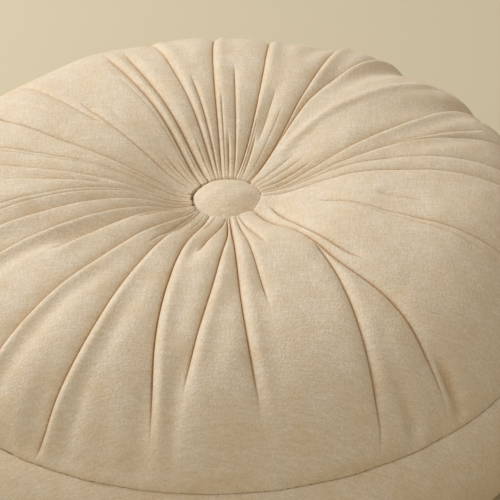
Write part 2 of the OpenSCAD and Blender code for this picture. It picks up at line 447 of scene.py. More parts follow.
TOP_CREASES = (
    Crease(R, 43, 40.5, 34, 40, 158),
    Crease(S, 47, 54, 52.5),
    Crease(S, 50, 58, 64),
    Crease(O, 62, 68.5, 70, 45, 80),
    Crease(T, 65, 71, 71.5, 12, 44),
    Crease(S, 75, 75, 79.5, share=0.75),
    Crease(T, 79, 85, 86, 12, 100),
    Crease(T, 87, 88.5, 88, 12, 44),
    Crease(S, 98, 92.7, 90, share=0.75),
    Crease(T, 103, 100.5, 101, 12, 90),
    Crease(S, 108, 105, 105, share=0.75),
    Crease(S, 121, 115, 112.5, 12, 138),
    Crease(S, 135, 119.5, 117.5, 12, 142),
    Crease(F, 138, 122.5, 120, 25, 115),
    Crease(T, 156, 141.5, 130, 12, 102),
    Crease(T, 159, 144, 136, 84, 158),
    Crease(F, 162, 150, 146, 112, 170),
    Crease(D, 166, 159.5, 148, 12, 146),
    Crease(T, 179, 169.5, 161.5),
    Crease(F, 181.5, 171.5, 163.2),
    Crease(D, 184.5, 177, 166.5),
    Crease(S, 188, 183, 176, 62, 200),
    Crease(T, 190.3, 190.6, 197.8, 12, 180),
    Crease(F, 191.6, 193.0, 200.2, 12, 150),
    Crease(S, 193.5, 198.3, 203.5, 20, 152),
    Crease(D, 196, 207, 210.5),
    Crease(D, 199, 216, 221, 12, 106),
    Crease(D, 211, 229, 227.5),
    Crease(T, 215, 238, 238, 12, 68),
    Crease(D, 220, 241, 241.5, bow=1.3),
    Crease(D, 240, 253.2, 259.5, 12, 178),
    Crease(S, 268, 258.6, 261, 12, 66),
    Crease(S, 269.5, 268, 262.5, 12, 160),
    Crease(S, 274, 275, 277, 12, 168),
    Crease(T, 284, 281.5, 284, 12, 116),
    Crease(T, 288.5, 288.5, 290, 12, 66),
    Crease(S, 303, 305.0, 294.5, 80, 184),
    Crease(D, 316, 306.8, 307.3, 12, 184, bow=2.4),
    Crease(S, 345, 310.5, 322, 28, 108),
    Crease(F, 346, 333.2, 336.5, 80, 165),
    Crease(T, 349, 335.3, 339.5, 55, 168),
    Crease(F, 353.5, 343, 345, 86, 112),
    Crease(T, 356, 357.5, 358, 12, 172),
    Crease(T, 361, 364, 364, 30, 172),
    Crease(F, 363, 370, 376, 92, 175),
    Crease(S, 365, 371.5, 381, 12, 155),
    Crease(D, 372, 380, 391),
    Crease(T, 380, 384, 394, 12, 48),
)

TOP_HOLLOWS = (
    Hollow(214, 86, 6, 26, 2.4),
    Hollow(233, 48, 4, 12, 1.6),
    Hollow(239.6, 178, 5, 12, 2.0),
    Hollow(245.5, 176, 6, 16, 1.6),
    Hollow(258, 72, 4, 12, 2.2),
    Hollow(257.5, 174, 6, 18, 2.4),
    Hollow(262.5, 172, 4, 16, 1.8),
    Hollow(264, 152, 5, 14, 1.6),
    Hollow(309.6, 179, 3.2, 10, 5.0, 0.5),
    Hollow(300.8, 182, 3.5, 12, 3.5, 0.2),
    Hollow(277, 162, 4, 16, 1.0),
    Hollow(30, 118, 12, 30, 2.2),
    Hollow(199, 100, 8, 36, 1.6),
    Hollow(67, 62, 5, 20, 1.4),
    Hollow(66, 152, 6, 30, 2.4),
    Hollow(47, 150, 7, 34, 3.0),
    Hollow(28, 158, 8, 32, 3.6),
)


@dataclass
class GatherPattern:
    """The creases of one gathered face, with the fine gathers that crowd round its button.

    The steps are how many degrees apart the gathers stand at the step angles. The roll and the valley
    beside a crease each have a share of its depth, a distance from it and a half width.
    """

    outline: PadOutline
    creases: tuple[Crease, ...]
    hollows: tuple[Hollow, ...] = ()
    seed: int = SEED
    step_angles: tuple[float, ...] = (60, 140, 150, 222, 235, 280, 345, 355)
    steps: tuple[float, ...] = (6.5, 6.5, 4.2, 4.2, 7, 30, 30, 7)
    least_gap: float = 0.9
    slit_width: float = 0.38
    shade_width: float = 0.6
    tight: float = 0.45
    ridge_width: float = 0.45
    lean: float = 0.5
    lean_angle: float = 225.0
    roll_from: float = 4.0
    roll: tuple[float, float, float] = (0.2, 4.0, 2.8)
    valley: tuple[float, float, float] = (-0.24, 11.5, 4.5)

    def __post_init__(self) -> None:
        """Adds the fine gathers."""
        self.creases = self.with_gathers()

    def with_gathers(self) -> tuple[Crease, ...]:
        """Fills each wide gap at the button with fine gathers that fade within the tuft."""
        dice = np.random.default_rng(self.seed)
        found: list[Crease] = []
        after = self.creases[1:] + (self.creases[0],)
        for one, two in zip(self.creases, after):
            turn = 360.0 if two is self.creases[0] else 0.0
            found.append(one)
            gap = two.button + turn - one.button
            step = np.interp(one.button + gap / 2, self.step_angles, self.steps, period=360)
            extra = int(round(gap / step)) - 1
            for k in range(1, extra + 1):
                t = (k + dice.uniform(-0.15, 0.15)) / (extra + 1)
                angles = [
                    a + t * (b + turn - a)
                    for a, b in ((one.button, two.button), (one.crown, two.crown), (one.rim, two.rim))
                ]
                end = dice.choice([34, 42, 55, 70], p=[0.35, 0.3, 0.2, 0.15]) + dice.uniform(-4, 4)
                found.append(Crease(Fold.GATHER, *angles, 12.0, end, dice.uniform(0.6, 1.2)))
        return tuple(found)

    def crease_angles(self, r: np.ndarray) -> np.ndarray:
        """Angles of all creases at the radii r, kept in order and never closer than the least gap.

        Args:
            r: the radii.

        Returns:
            An array of creases by radii, in degrees.
        """
        angles = np.stack([c.angle(r, self.outline) for c in self.creases])
        least = np.degrees(self.least_gap / np.maximum(r, 8.0))
        for i in range(1, len(angles)):
            angles[i] = np.maximum(angles[i], angles[i - 1] + least)
        spare = angles[0] + 360 - angles[-1]
        angles -= np.maximum(least - spare, 0) * np.linspace(0, 1, len(angles))[:, None]
        return angles

    def columns(self, r: np.ndarray, count: int) -> np.ndarray:
        """Angles of the grid's columns, which run along the creases and crowd towards them.

        Each gap between two creases gets columns by its width, and within a gap their places are moved
        towards both creases by a share of a sine wave.

        Args:
            r: radii of the grid's rows.
            count: about how many columns.

        Returns:
            An array of rows by columns, in degrees. The number of columns is even.
        """
        angles = self.crease_angles(r)
        angles = np.concatenate([angles, angles[:1] + 360])
        width = np.diff(angles, axis=0).mean(1)
        share = np.maximum(6, 2 * np.round(count * width / 720)).astype(int)
        parts = []
        for i, n in enumerate(share):
            t = np.arange(n) / n
            t = t - 0.6 * np.sin(2 * np.pi * t) / (2 * np.pi)
            parts.append(angles[i][:, None] * (1 - t) + angles[i + 1][:, None] * t)
        return np.concatenate(parts, 1)

    def relief(self, r: np.ndarray, degrees: np.ndarray) -> tuple[np.ndarray, np.ndarray]:
        """How the creases shape the face.

        With u the distance from a crease across the cloth as a share of its reach, each side of it is a
        quarter of an ellipse: its depth times 1 less the root of 1 less (1 less u) squared. The side that
        the pleat leans over is shorter. Where sides meet, the deeper one counts. A ridge is a bell curve.
        A slit, e to the minus distance over its width, is added at the bottom, where the two sides touch.

        Args:
            r: radii of the rows, as a column.
            degrees: rows by columns of angles.

        Returns:
            The height and the crease shade of each point, in millimetres and 0 to 1.
        """
        angles = self.crease_angles(r[:, 0])
        height = np.zeros_like(degrees)
        sides = np.zeros_like(degrees)
        shade = np.zeros_like(degrees)
        lean = self.lean * np.cos(np.radians(degrees - self.lean_angle))
        for crease, line in zip(self.creases, angles):
            depth, reach, slit = crease.fold.value
            strong = crease.strength(r)
            if not strong.any():
                continue
            u = across(degrees, line[:, None], r)
            far = np.abs(u)
            grown = reach * (1 - self.tight * (1 - smooth_step(r, 20, 120))) * (1 - np.sign(u) * lean)
            t = 1 - np.clip(far / grown, 0, 1)
            side = depth * strong * (1 - np.sqrt(1 - t * t))
            if depth > 0:
                sides += side**3
            else:
                height -= depth * strong * bell(far / (self.ridge_width * reach))
            height -= slit * strong * np.exp(-far / self.slit_width)
            # painted shade along the crease's line, as strong as its slit is deep
            tone = slit / Fold.DEEP.value[2] * np.sqrt(strong)
            shade = np.maximum(shade, tone * bell(far / self.shade_width))
        return height - np.cbrt(sides), shade

    def rolls(self, r: np.ndarray, degrees: np.ndarray) -> tuple[np.ndarray, np.ndarray]:
        """How the full cloth lies over beside its creases.

        Towards the rim a strong crease turns the cloth over into a narrow roll, a bell curve, with a
        valley beside it, another bell curve. Each hollow is a bell curve both across and along.

        Args:
            r: radii of the rows, as a column.
            degrees: rows by columns of angles.

        Returns:
            The height and the crease shade of each point, in millimetres and 0 to 1.
        """
        height = np.zeros_like(degrees)
        shade = np.zeros_like(degrees)
        lean = np.cos(np.radians(degrees - self.lean_angle))
        for crease, line in zip(self.creases, self.crease_angles(r[:, 0])):
            depth = crease.fold.value[0]
            if depth < self.roll_from:
                continue
            over = across(degrees, line[:, None], r) * np.sign(lean)
            turned = depth * crease.strength(r) * np.abs(lean) * smooth_step(r, 60, 130)
            for share, middle, width in (self.roll, self.valley):
                height += turned * share * bell((over - middle) / width)
        for hollow in self.hollows:
            dip = bell(across(degrees, hollow.angle, r) / hollow.across) * bell((r - hollow.radius) / hollow.along)
            height -= hollow.depth * dip
            # painted shade at the hollow's bottom, by its tone
            shade = np.maximum(shade, hollow.tone * dip)
        return height, shade


def plain_creases(seed: int, count: int) -> tuple[Crease, ...]:
    """Creases for the face that rests: seeded, uneven, most of them short of the rim.

    Args:
        seed: chooses them.
        count: how many.

    Returns:
        The creases in order of angle.
    """
    dice = np.random.default_rng(seed)
    found = []
    for i in range(count):
        angle = 360 * (i + dice.uniform(-0.3, 0.3)) / count
        fold = (Fold.STRONG, Fold.THIN, Fold.STRONG, Fold.DEEP)[dice.integers(4)]
        end = (200.0, 150.0, 110.0, 90.0)[dice.integers(4)]
        bend = dice.uniform(-4, 4)
        found.append(Crease(fold, angle + bend, angle, angle - bend / 2, 12.0, end))
    return tuple(found)


# ---------------------------------------------------------------- materials


Socket = bpy.types.NodeSocket


def linear(code: str) -> tuple[float, float, float, float]:
    """Turns an sRGB hex colour to linear values with alpha 1."""
    parts = [int(code[i : i + 2], 16) / 255 for i in (1, 3, 5)]
    return (*(p / 12.92 if p <= 0.04045 else ((p + 0.055) / 1.055) ** 2.4 for p in parts), 1.0)


def add_node(tree: bpy.types.NodeTree, kind: str, inputs: dict | None = None, **settings) -> bpy.types.Node:
    """Adds a node with its settings and links.

    Args:
        tree: the material's node tree.
        kind: the node's type.
        inputs: for each socket's name or number, a value or the output that is linked to it.
        settings: the node's own properties.

    Returns:
        The new node.
    """
    node = tree.nodes.new(kind)
    for name, value in settings.items():
        setattr(node, name, value)
    for name, value in (inputs or {}).items():
        if isinstance(value, Socket):
            tree.links.new(value, node.inputs[name])
        else:
            node.inputs[name].default_value = value
    return node


def per_mm(size: float) -> float:
    """Scale of a texture on Object coordinates whose detail is size millimetres across."""
    return 1 / (size * MM)


def waves_per_mm(size: float) -> float:
    """Scale of a wave texture on Object coordinates whose bands are size millimetres apart."""
    return per_mm(size) / 6.283


@dataclass
class Surface:
    """What a finish shows: layers of colour, bumps, and the shader's constants.

    Each layer is a share and the colour that is laid over the ones before by that share. Each bump is a
    height, a strength and a depth in millimetres.
    """

    layers: list[tuple[Socket, str]]
    bumps: list[tuple[Socket, float, float]]
    constants: dict[str, float | tuple[float, ...]]


@dataclass(frozen=True)
class Finish:
    """What a piece is made of at its surface: its name, its lighter colour and its darker colour."""

    name: str
    lit: str
    dark: str

    def make(self) -> bpy.types.Material:
        """Makes the material: the layers over the dark colour and the bumps in turn, in one shader."""
        material = bpy.data.materials.new(self.name)
        material.use_nodes = True
        tree = material.node_tree
        tree.nodes.clear()
        surface = self.surface(tree, add_node(tree, "ShaderNodeTexCoord").outputs["Object"])
        inputs = {"Base Color": linear(self.dark), **surface.constants}
        for share, tone in surface.layers:
            colors = {0: share, 6: inputs["Base Color"], 7: linear(tone)}
            inputs["Base Color"] = add_node(tree, "ShaderNodeMix", colors, data_type="RGBA").outputs[2]
        under = {}
        for height, strength, depth in surface.bumps:
            relief = {"Height": height, "Strength": strength, "Distance": depth * MM, **under}
            under = {"Normal": add_node(tree, "ShaderNodeBump", relief).outputs[0]}
        shader = add_node(tree, "ShaderNodeBsdfPrincipled", {**inputs, **under})
        add_node(tree, "ShaderNodeOutputMaterial", {"Surface": shader.outputs[0]})
        return material

    def surface(self, tree: bpy.types.NodeTree, place: Socket) -> Surface:
        """Adds the nodes of the pattern.

        Args:
            tree: the material's node tree.
            place: the output that gives the Object coordinates.

        Returns:
            What the finish shows.
        """
        raise NotImplementedError


@dataclass(frozen=True)
class Velvet(Finish):
    """Short cotton-blend pile velvet, woven and brushed: matte, with a soft bloom on turned edges.

    The pile lies in uneven patches, so its tone drifts over 10 to 30 mm and is flecked at 1 to 2 mm. The
    threads of its ground show as fine streaks, drawn coarser than their 0.3 mm to be seen. The crease colour
    is painted shade: a golden brown laid over the pile by each piece's crease shade, along the creases and
    seams, in the hollows and on the buttons' lowest rim.
    """

    name: str = "cream_pile_velvet"
    lit: str = "#efe5d6"
    dark: str = "#ead9c1"
    fleck: str = "#c8b38e"
    # painted shade colour, laid over the pile along creases, seams and hollows
    crease: str = "#bd8c40"
    bloom: str = "#f3e6cf"
    patch_mm: float = 14.0
    fleck_mm: float = 1.2
    thread_mm: float = 0.8
    streak_mm: float = 7.0
    pile_mm: float = 0.6

    def surface(self, tree: bpy.types.NodeTree, place: Socket) -> Surface:
        """Adds patches, flecks, two sets of streaks, the painted shade along the creases and the pile's roughness."""
        patch, fleck, pile = (
            add_node(tree, "ShaderNodeTexNoise", {"Vector": place, "Scale": per_mm(size), "Detail": detail}).outputs[0]
            for size, detail in ((self.patch_mm, 4.0), (self.fleck_mm, 3.0), (self.pile_mm, 2.0))
        )
        across, along = per_mm(self.thread_mm), per_mm(self.streak_mm)
        lies = (
            add_node(tree, "ShaderNodeMapping", {"Vector": place, "Scale": scale}).outputs[0]
            for scale in ((across, along, across), (along, across, along))
        )
        warp, weft = (
            add_node(tree, "ShaderNodeTexNoise", {"Vector": lie, "Scale": 1.0, "Detail": 2.0}).outputs[0]
            for lie in lies
        )
        # each piece's crease shade: how much painted shade colour is laid over the pile
        painted_crease_shade = add_node(tree, "ShaderNodeAttribute", attribute_name="crease").outputs["Fac"]
        layers = []
        for pattern, low, high, most, tone in (
            (patch, 0.3, 0.7, 1.0, self.lit),
            (fleck, 0.35, 0.75, 0.38, self.fleck),
            (warp, 0.35, 0.7, 0.34, self.fleck),
            (weft, 0.35, 0.7, 0.34, self.fleck),
            (painted_crease_shade, 0.15, 1.0, 0.75, self.crease),
        ):
            limits = {"Value": pattern, "From Min": low, "From Max": high, "To Max": most}
            layers.append((add_node(tree, "ShaderNodeMapRange", limits).outputs[0], tone))
        constants = {
            "Roughness": 0.95,
            "Specular IOR Level": 0.15,
            "Sheen Weight": 0.25,
            "Sheen Roughness": 0.45,
            "Sheen Tint": linear(self.bloom),
        }
        return Surface(layers, [(fleck, 0.6, 0.5), (pile, 0.6, 0.3)], constants)


@dataclass(frozen=True)
class Yarn(Finish):
    """Spun thread or cord: matte twisted fibres, with slanting bands of painted light and shade along the twist."""

    twist_mm: float
    hair_mm: float = 0.4

    def surface(self, tree: bpy.types.NodeTree, place: Socket) -> Surface:
        """Adds the slanting bands of the twist, as bumps and as painted light and shade, and the fuzz of its fibres."""
        bands = {"Vector": place, "Scale": waves_per_mm(self.twist_mm), "Distortion": 2.0}
        band = add_node(tree, "ShaderNodeTexWave", bands, bands_direction="DIAGONAL").outputs["Fac"]
        fuzz = add_node(tree, "ShaderNodeTexNoise", {"Vector": place, "Scale": per_mm(self.hair_mm), "Detail": 2.0})
        bumps = [(band, 0.6, 0.2), (fuzz.outputs[0], 0.3, 0.1)]
        # the lit colour is painted on the twist's crowns and the dark one in its grooves, as light and shade
        return Surface([(band, self.lit)], bumps, {"Roughness": 0.8, "Specular IOR Level": 0.3})


@dataclass(frozen=True)
class CottonLining(Finish):
    """Plain-woven undyed cotton: a flat weave, two sets of 0.9 mm threads drawn coarse to show, slubs."""

    name: str = "cotton_lining_cloth"
    lit: str = "#f2f0ea"
    dark: str = "#dcd8cc"
    thread_mm: float = 0.9
    slub_mm: float = 6.0

    def surface(self, tree: bpy.types.NodeTree, place: Socket) -> Surface:
        """Adds the two sets of threads, whose product is the weave, and the slubs."""
        threads = {"Vector": place, "Scale": waves_per_mm(self.thread_mm), "Distortion": 0.6}
        warp, weft = (
            add_node(tree, "ShaderNodeTexWave", threads, bands_direction=way).outputs["Fac"] for way in ("X", "Y")
        )
        weave = add_node(tree, "ShaderNodeMath", {0: warp, 1: weft}, operation="MULTIPLY").outputs[0]
        slub = add_node(tree, "ShaderNodeTexNoise", {"Vector": place, "Scale": per_mm(self.slub_mm), "Detail": 3.0})
        layers = [(weave, self.lit), (slub.outputs[0], self.lit)]
        constants = {"Roughness": 0.9, "Specular IOR Level": 0.2, "Sheen Weight": 0.1}
        return Surface(layers, [(weave, 0.4, 0.2)], constants)


@dataclass(frozen=True)
class FibreFill(Finish):
    """Siliconised polyester fibre, blown in: white tufts with a loose hairy surface."""

    name: str = "polyester_fibre"
    lit: str = "#fbfbf8"
    dark: str = "#e3e4e2"
    tuft_mm: float = 14.0
    hair_mm: float = 0.8

    def surface(self, tree: bpy.types.NodeTree, place: Socket) -> Surface:
        """Adds the tufts and the hairs on them."""
        tufts = {"Vector": place, "Scale": per_mm(self.tuft_mm), "Detail": 6.0}
        hairs = {"Vector": place, "Scale": per_mm(self.hair_mm), "Detail": 3.0, "Distortion": 2.0}
        tuft, hair = (add_node(tree, "ShaderNodeTexNoise", inputs).outputs[0] for inputs in (tufts, hairs))
        constants = {"Roughness": 1.0, "Specular IOR Level": 0.1, "Subsurface Weight": 0.1}
        return Surface([(tuft, self.lit)], [(tuft, 0.5, 2.0), (hair, 0.5, 0.4)], constants)


@dataclass(frozen=True)
class Metal(Finish):
    """Drawn or pressed metal: clean, with fine working marks that break up its reflections."""

    rough: float
    mark_mm: float

    def surface(self, tree: bpy.types.NodeTree, place: Socket) -> Surface:
        """Adds the working marks."""
        marks = {"Vector": place, "Scale": per_mm(self.mark_mm), "Detail": 5.0}
        mark = add_node(tree, "ShaderNodeTexNoise", marks).outputs[0]
        return Surface([(mark, self.lit)], [(mark, 0.15, 0.05)], {"Metallic": 1.0, "Roughness": self.rough})


@dataclass(frozen=True)
class StudioPaper(Finish):
    """Seamless background paper: uncoated and even, with a very faint cloudiness."""

    name: str = "background_paper"
    lit: str = "#d1c7ac"
    dark: str = "#cfc4a9"
    cloud_mm: float = 300.0
    tooth_mm: float = 1.0

    def surface(self, tree: bpy.types.NodeTree, place: Socket) -> Surface:
        """Adds the clouds and the paper's tooth."""
        cloud, tooth = (
            add_node(tree, "ShaderNodeTexNoise", {"Vector": place, "Scale": per_mm(size), "Detail": detail}).outputs[0]
            for size, detail in ((self.cloud_mm, 3.0), (self.tooth_mm, 2.0))
        )
        return Surface([(cloud, self.lit)], [(tooth, 0.1, 0.1)], {"Roughness": 0.95, "Specular IOR Level": 0.1})


@dataclass
class Finishes:
    """Every finish of the cushion, made once, by the record's slot."""

    by_slot: dict[str, bpy.types.Material] = field(default_factory=dict)

    def __post_init__(self) -> None:
        """Makes the materials."""
        self.by_slot = {
            "velvet": Velvet().make(),
            # each yarn's two colours are its painted light and its painted shade along the twist
            "thread": Yarn("polyester_sewing_thread", "#bfa67c", "#a08760", 0.8).make(),
            "lining": CottonLining().make(),
            "fill": FibreFill().make(),
            "cord": Yarn("waxed_cotton_cord", "#e6dcc4", "#c4b593", 1.6).make(),
            "button_metal": Metal("pressed_aluminium", "#c8cacd", "#a9acb0", 0.38, 0.6).make(),
            "shank_wire": Metal("zinc_plated_steel_wire", "#b4b8bd", "#8f949a", 0.28, 0.3).make(),
        }

    def dress(self, piece: bpy.types.Object, slot: str, *nodes: str) -> bpy.types.Object:
        """Gives a new piece its finish, its body and the CAD nodes that it stands for.

        Args:
            piece: the piece.
            slot: its finish.
            nodes: CAD nodes that it replaces.

        Returns:
            The piece.
        """
        piece.data.materials.append(self.by_slot[slot])
        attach(piece, ROOT)
        if nodes:
            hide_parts(*nodes)
        LOG.info("%s: %d faces, %s", piece.name, len(piece.data.polygons), slot)
        return piece

    def repaint(self, slot: str, *nodes: str) -> None:
        """Gives CAD nodes that stay in view their finish."""
        for name in nodes:
            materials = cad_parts[name].data.materials
            materials.clear()
            materials.append(self.by_slot[slot])
            LOG.info("%s: CAD shape kept, %s", name, slot)


# ---------------------------------------------------------------- pieces


def stretch_grid(values: np.ndarray, rows: int, columns: int) -> np.ndarray:
    """Spreads a coarse ring-shaped grid of numbers over a finer one, in straight lines between its points.

    Args:
        values: coarse rows by columns of numbers.
        rows: rows of the finer grid.
        columns: columns of the finer grid, a multiple of the coarse one's.

    Returns:
        Rows by columns of numbers.
    """
    coarse_rows, coarse_columns = values.shape
    at = np.linspace(0, coarse_rows - 1, rows)
    low = np.minimum(at.astype(int), coarse_rows - 2)
    tall = values[low] + (at - low)[:, None] * (values[low + 1] - values[low])
    across = np.arange(columns) * coarse_columns / columns
    left = across.astype(int)
    return tall[:, left] + (across - left) * (tall[:, (left + 1) % coarse_columns] - tall[:, left])


@dataclass(frozen=True)
class FillingPressure:
    """The push of the fibre on the gathered velvet, found with a cloth simulation.

    The creases, the middle and the rim seam hold the cloth, and the pressure swells it between them.
    """

    pressure: float = 4.0
    frames: int = 20
    most: float = 3.6
    row_step: int = 3
    column_step: int = 2
    mass: float = 0.1
    stiffness: float = 12.0
    bending: float = 0.3

    def swell(self, points: np.ndarray, held: np.ndarray) -> np.ndarray:
        """Simulates the cloth and gives how far each point moved outwards.

        Args:
            points: rows by columns of the creased face, in millimetres, facing outwards.
            held: how firmly each point is held, from 0 to 1.

        Returns:
            The outward movement of each point, in millimetres.
        """
        coarse = points[:: self.row_step, :: self.column_step]
        rows, columns, _ = coarse.shape
        sheet = make_piece("cloth_trial", coarse.reshape(-1, 3), [ring_quads(rows, columns)])
        group = sheet.vertex_groups.new(name="held")
        grip = np.round(4 * held[:: self.row_step, :: self.column_step].ravel()).astype(int)
        for level in range(1, 5):
            group.add(np.flatnonzero(grip == level).tolist(), level / 4, "REPLACE")
        cloth = sheet.modifiers.new("cloth", "CLOTH")
        cloth.settings.quality = 4
        cloth.settings.mass = self.mass
        cloth.settings.tension_stiffness = self.stiffness
        cloth.settings.compression_stiffness = self.stiffness
        cloth.settings.shear_stiffness = self.stiffness / 2
        cloth.settings.bending_stiffness = self.bending
        cloth.settings.vertex_group_mass = group.name
        cloth.settings.use_pressure = True
        cloth.settings.uniform_pressure_force = self.pressure
        cloth.settings.effector_weights.gravity = 0
        cloth.collision_settings.use_collision = False
        scene = bpy.context.scene
        for step in range(1, self.frames + 1):
            scene.frame_set(step)
        shape = sheet.evaluated_get(bpy.context.evaluated_depsgraph_get()).data
        moved = np.empty(3 * rows * columns, np.float32)
        shape.vertices.foreach_get("co", moved)
        mesh = sheet.data
        bpy.data.objects.remove(sheet)
        bpy.data.meshes.remove(mesh)
        scene.frame_set(1)
        shift = moved.reshape(rows, columns, 3) / MM - coarse
        outward = (shift * grid_normals(coarse)).sum(2)
        LOG.info("cloth: moved %.2f mm on average, %.2f at most", outward.mean(), outward.max())
        return stretch_grid(np.clip(outward, -0.5, self.most), *points.shape[:2])


def velvet_sheet(name: str, points: np.ndarray, shade: np.ndarray, thickness: float) -> bpy.types.Object:
    """Makes a sheet of velvet from rows by columns of points, and stores the painted crease shade of each."""
    piece = make_piece(name, *sheet_with_back(points, thickness))
    paint(piece, "crease", np.concatenate([shade.ravel(), shade[::2, ::2].ravel()]))
    return piece


@dataclass(frozen=True)
class SeamPull:
    """How the stitches of a rim seam draw in the cloth on both sides of it, and the painted shade along it."""

    seam_r: float
    stitch_pitch: float = 5.6
    pinch_depth: float = 0.4
    pinch_length: float = 1.8
    nick_depth: float = 0.25
    wander_depth: float = 0.3
    wander_length: float = 9.0
    line_length: float = 0.5
    line_shade: float = 0.06
    nick_shade: float = 0.24

    def nick(self, turn: np.ndarray) -> np.ndarray:
        """A pulse from 0 to 1 at each stitch: the sixth power of a raised cosine of the angle."""
        return (0.5 + 0.5 * np.cos(turn * round(2 * np.pi * self.seam_r / self.stitch_pitch))) ** 6

    def depth(self, turn: np.ndarray, *away: np.ndarray) -> np.ndarray:
        """How far the cloth is drawn in.

        The pinch, deeper at each stitch, falls off as e to the minus distance over its length. A slow
        wander along the seam reaches further from the nearest seam.

        Args:
            turn: the points' angles.
            away: for each seam of the cloth, the points' distance from it.

        Returns:
            The depth at each point.
        """
        near = sum(np.exp(-one / self.pinch_length) for one in away)
        wide = np.exp(-np.minimum.reduce(away) / self.wander_length)
        wander = waves(SEED + 7, turn * 180, 0 * turn, 40, 12)
        return near * (self.pinch_depth + self.nick_depth * self.nick(turn)) + self.wander_depth * wide * wander

    def shade(self, turn: np.ndarray, *away: np.ndarray) -> np.ndarray:
        """Painted shade along the seam's line, darker at each stitch, with the same arguments as depth."""
        line = sum(np.exp(-one / self.line_length) for one in away)
        return (self.line_shade + self.nick_shade * self.nick(turn)) * line


@dataclass
class GatheredFace:
    """One face of the cushion: velvet gathered to the middle, sewn to the band at its rim."""

    outline: PadOutline
    pattern: GatherPattern
    top: bool
    rows: int = 193
    column_count: int = 1100
    cloth_t: float = 1.2
    lump_h: float = 1.1
    ripple_h: float = 0.1
    collar_h: float = 2.0
    collar_length: float = 11.0
    full_angle: float = 290.0
    second_angle: float = 188.0
    second_width: float = 24.0
    second_share: float = 0.7
    tuck_share: float = 0.2
    grip: float = 1.8
    filling: FillingPressure = FillingPressure()

    def collar(self, r: np.ndarray, degrees: np.ndarray) -> np.ndarray:
        """Height of the roll of cloth against the button.

        It falls off with e to the minus distance over its length. Round the button it is a raised cosine,
        highest at the full angle, with a bell curve at the second angle.

        Args:
            r: radii of the rows, as a column.
            degrees: rows by columns of angles.

        Returns:
            The height of each point.
        """
        rim = self.outline.button_r
        reach = smooth_step(r, rim - 0.6, rim + 0.4) * np.exp(-np.maximum(r - rim, 0) / self.collar_length)
        fuller = 0.5 + 0.5 * np.cos(np.radians(degrees - self.full_angle))
        fuller += self.second_share * bell((degrees - self.second_angle) / self.second_width)
        return self.collar_h * reach * fuller

    def surface(self) -> tuple[np.ndarray, np.ndarray]:
        """The face's outer surface.

        Each point of the smooth outline is moved along the outline's normal by the creases' relief, by
        soft lumps, by the collar, by the swell of the filling and by the rolls, and inwards at the rim
        seam by the pull of its stitches.

        Returns:
            Rows by columns of points, and the crease shade of each.
        """
        line = self.outline.face_line(self.top, self.rows, self.outline.gather_r)
        r = line[:, :1]
        degrees = self.pattern.columns(line[:, 0], self.column_count)
        height, shade = self.pattern.relief(r, degrees)
        turn = np.radians(degrees)
        x, y = r * np.cos(turn), r * np.sin(turn)
        height += self.lump_h * waves(self.pattern.seed + 1, x, y, 130, 50, 30)
        height += self.ripple_h * waves(self.pattern.seed + 2, x, y, 34, 12, 60)
        height += self.collar(r, degrees)
        left = np.cumsum(np.linalg.norm(np.diff(line[::-1], axis=0), axis=1))[::-1]
        left = np.concatenate([left, [0]])[:, None]
        seam = SeamPull(self.outline.seam_r)
        free = smooth_step(left, 0, 10)
        tuck = smooth_step(r, self.outline.gather_r, self.outline.button_r + 2)
        height = (height * free - seam.depth(turn, left)) * (self.tuck_share + (1 - self.tuck_share) * tuck)
        edges = 1 - smooth_step(left, 4, 16) * smooth_step(r, self.outline.button_r, self.outline.button_r + 10)
        held = np.maximum(np.clip(self.grip * shade, 0, 1), edges)
        facing = slice(None, None, 1 if self.top else -1)
        creased = self.place(line, turn, height)[:, facing]
        height += self.filling.swell(creased, held[:, facing])[:, facing] * free * tuck
        # pressed is the painted shade in the hollows; the seam's painted shade joins it below
        rolled, pressed = self.pattern.rolls(r, degrees)
        height += rolled * free * tuck
        shade = np.maximum(np.maximum(shade, pressed) * free, seam.shade(turn, left))
        return self.outline.sway(self.place(line, turn, height)), shade

    def place(self, line: np.ndarray, turn: np.ndarray, height: np.ndarray) -> np.ndarray:
        """Moves the smooth outline outwards by a height, but not past the seam's level or the ground.

        Args:
            line: the outline's radius and height in each row.
            turn: rows by columns of angles, in radians.
            height: rows by columns of outward movement.

        Returns:
            Rows by columns of points.
        """
        step = np.gradient(line, axis=0)
        step *= (1 if self.top else -1) / np.linalg.norm(step, axis=1, keepdims=True)
        limit = self.outline.top_seam_z + self.outline.seam_gap / 2 if self.top else 0.0
        z = np.maximum(line[:, 1:] + height * step[:, :1], limit)
        return ring_points(line[:, :1] - height * step[:, 1:], turn, z)

    def build(self, finishes: Finishes) -> bpy.types.Object:
        """Makes and dresses the face."""
        points, shade = self.surface()
        if not self.top:
            points, shade = points[:, ::-1], shade[:, ::-1]
        side = "top" if self.top else "bottom"
        piece = velvet_sheet(f"{side}_gathered_face", points, shade, self.cloth_t)
        finishes.dress(piece, "velvet", f"{side}_panel")
        return piece


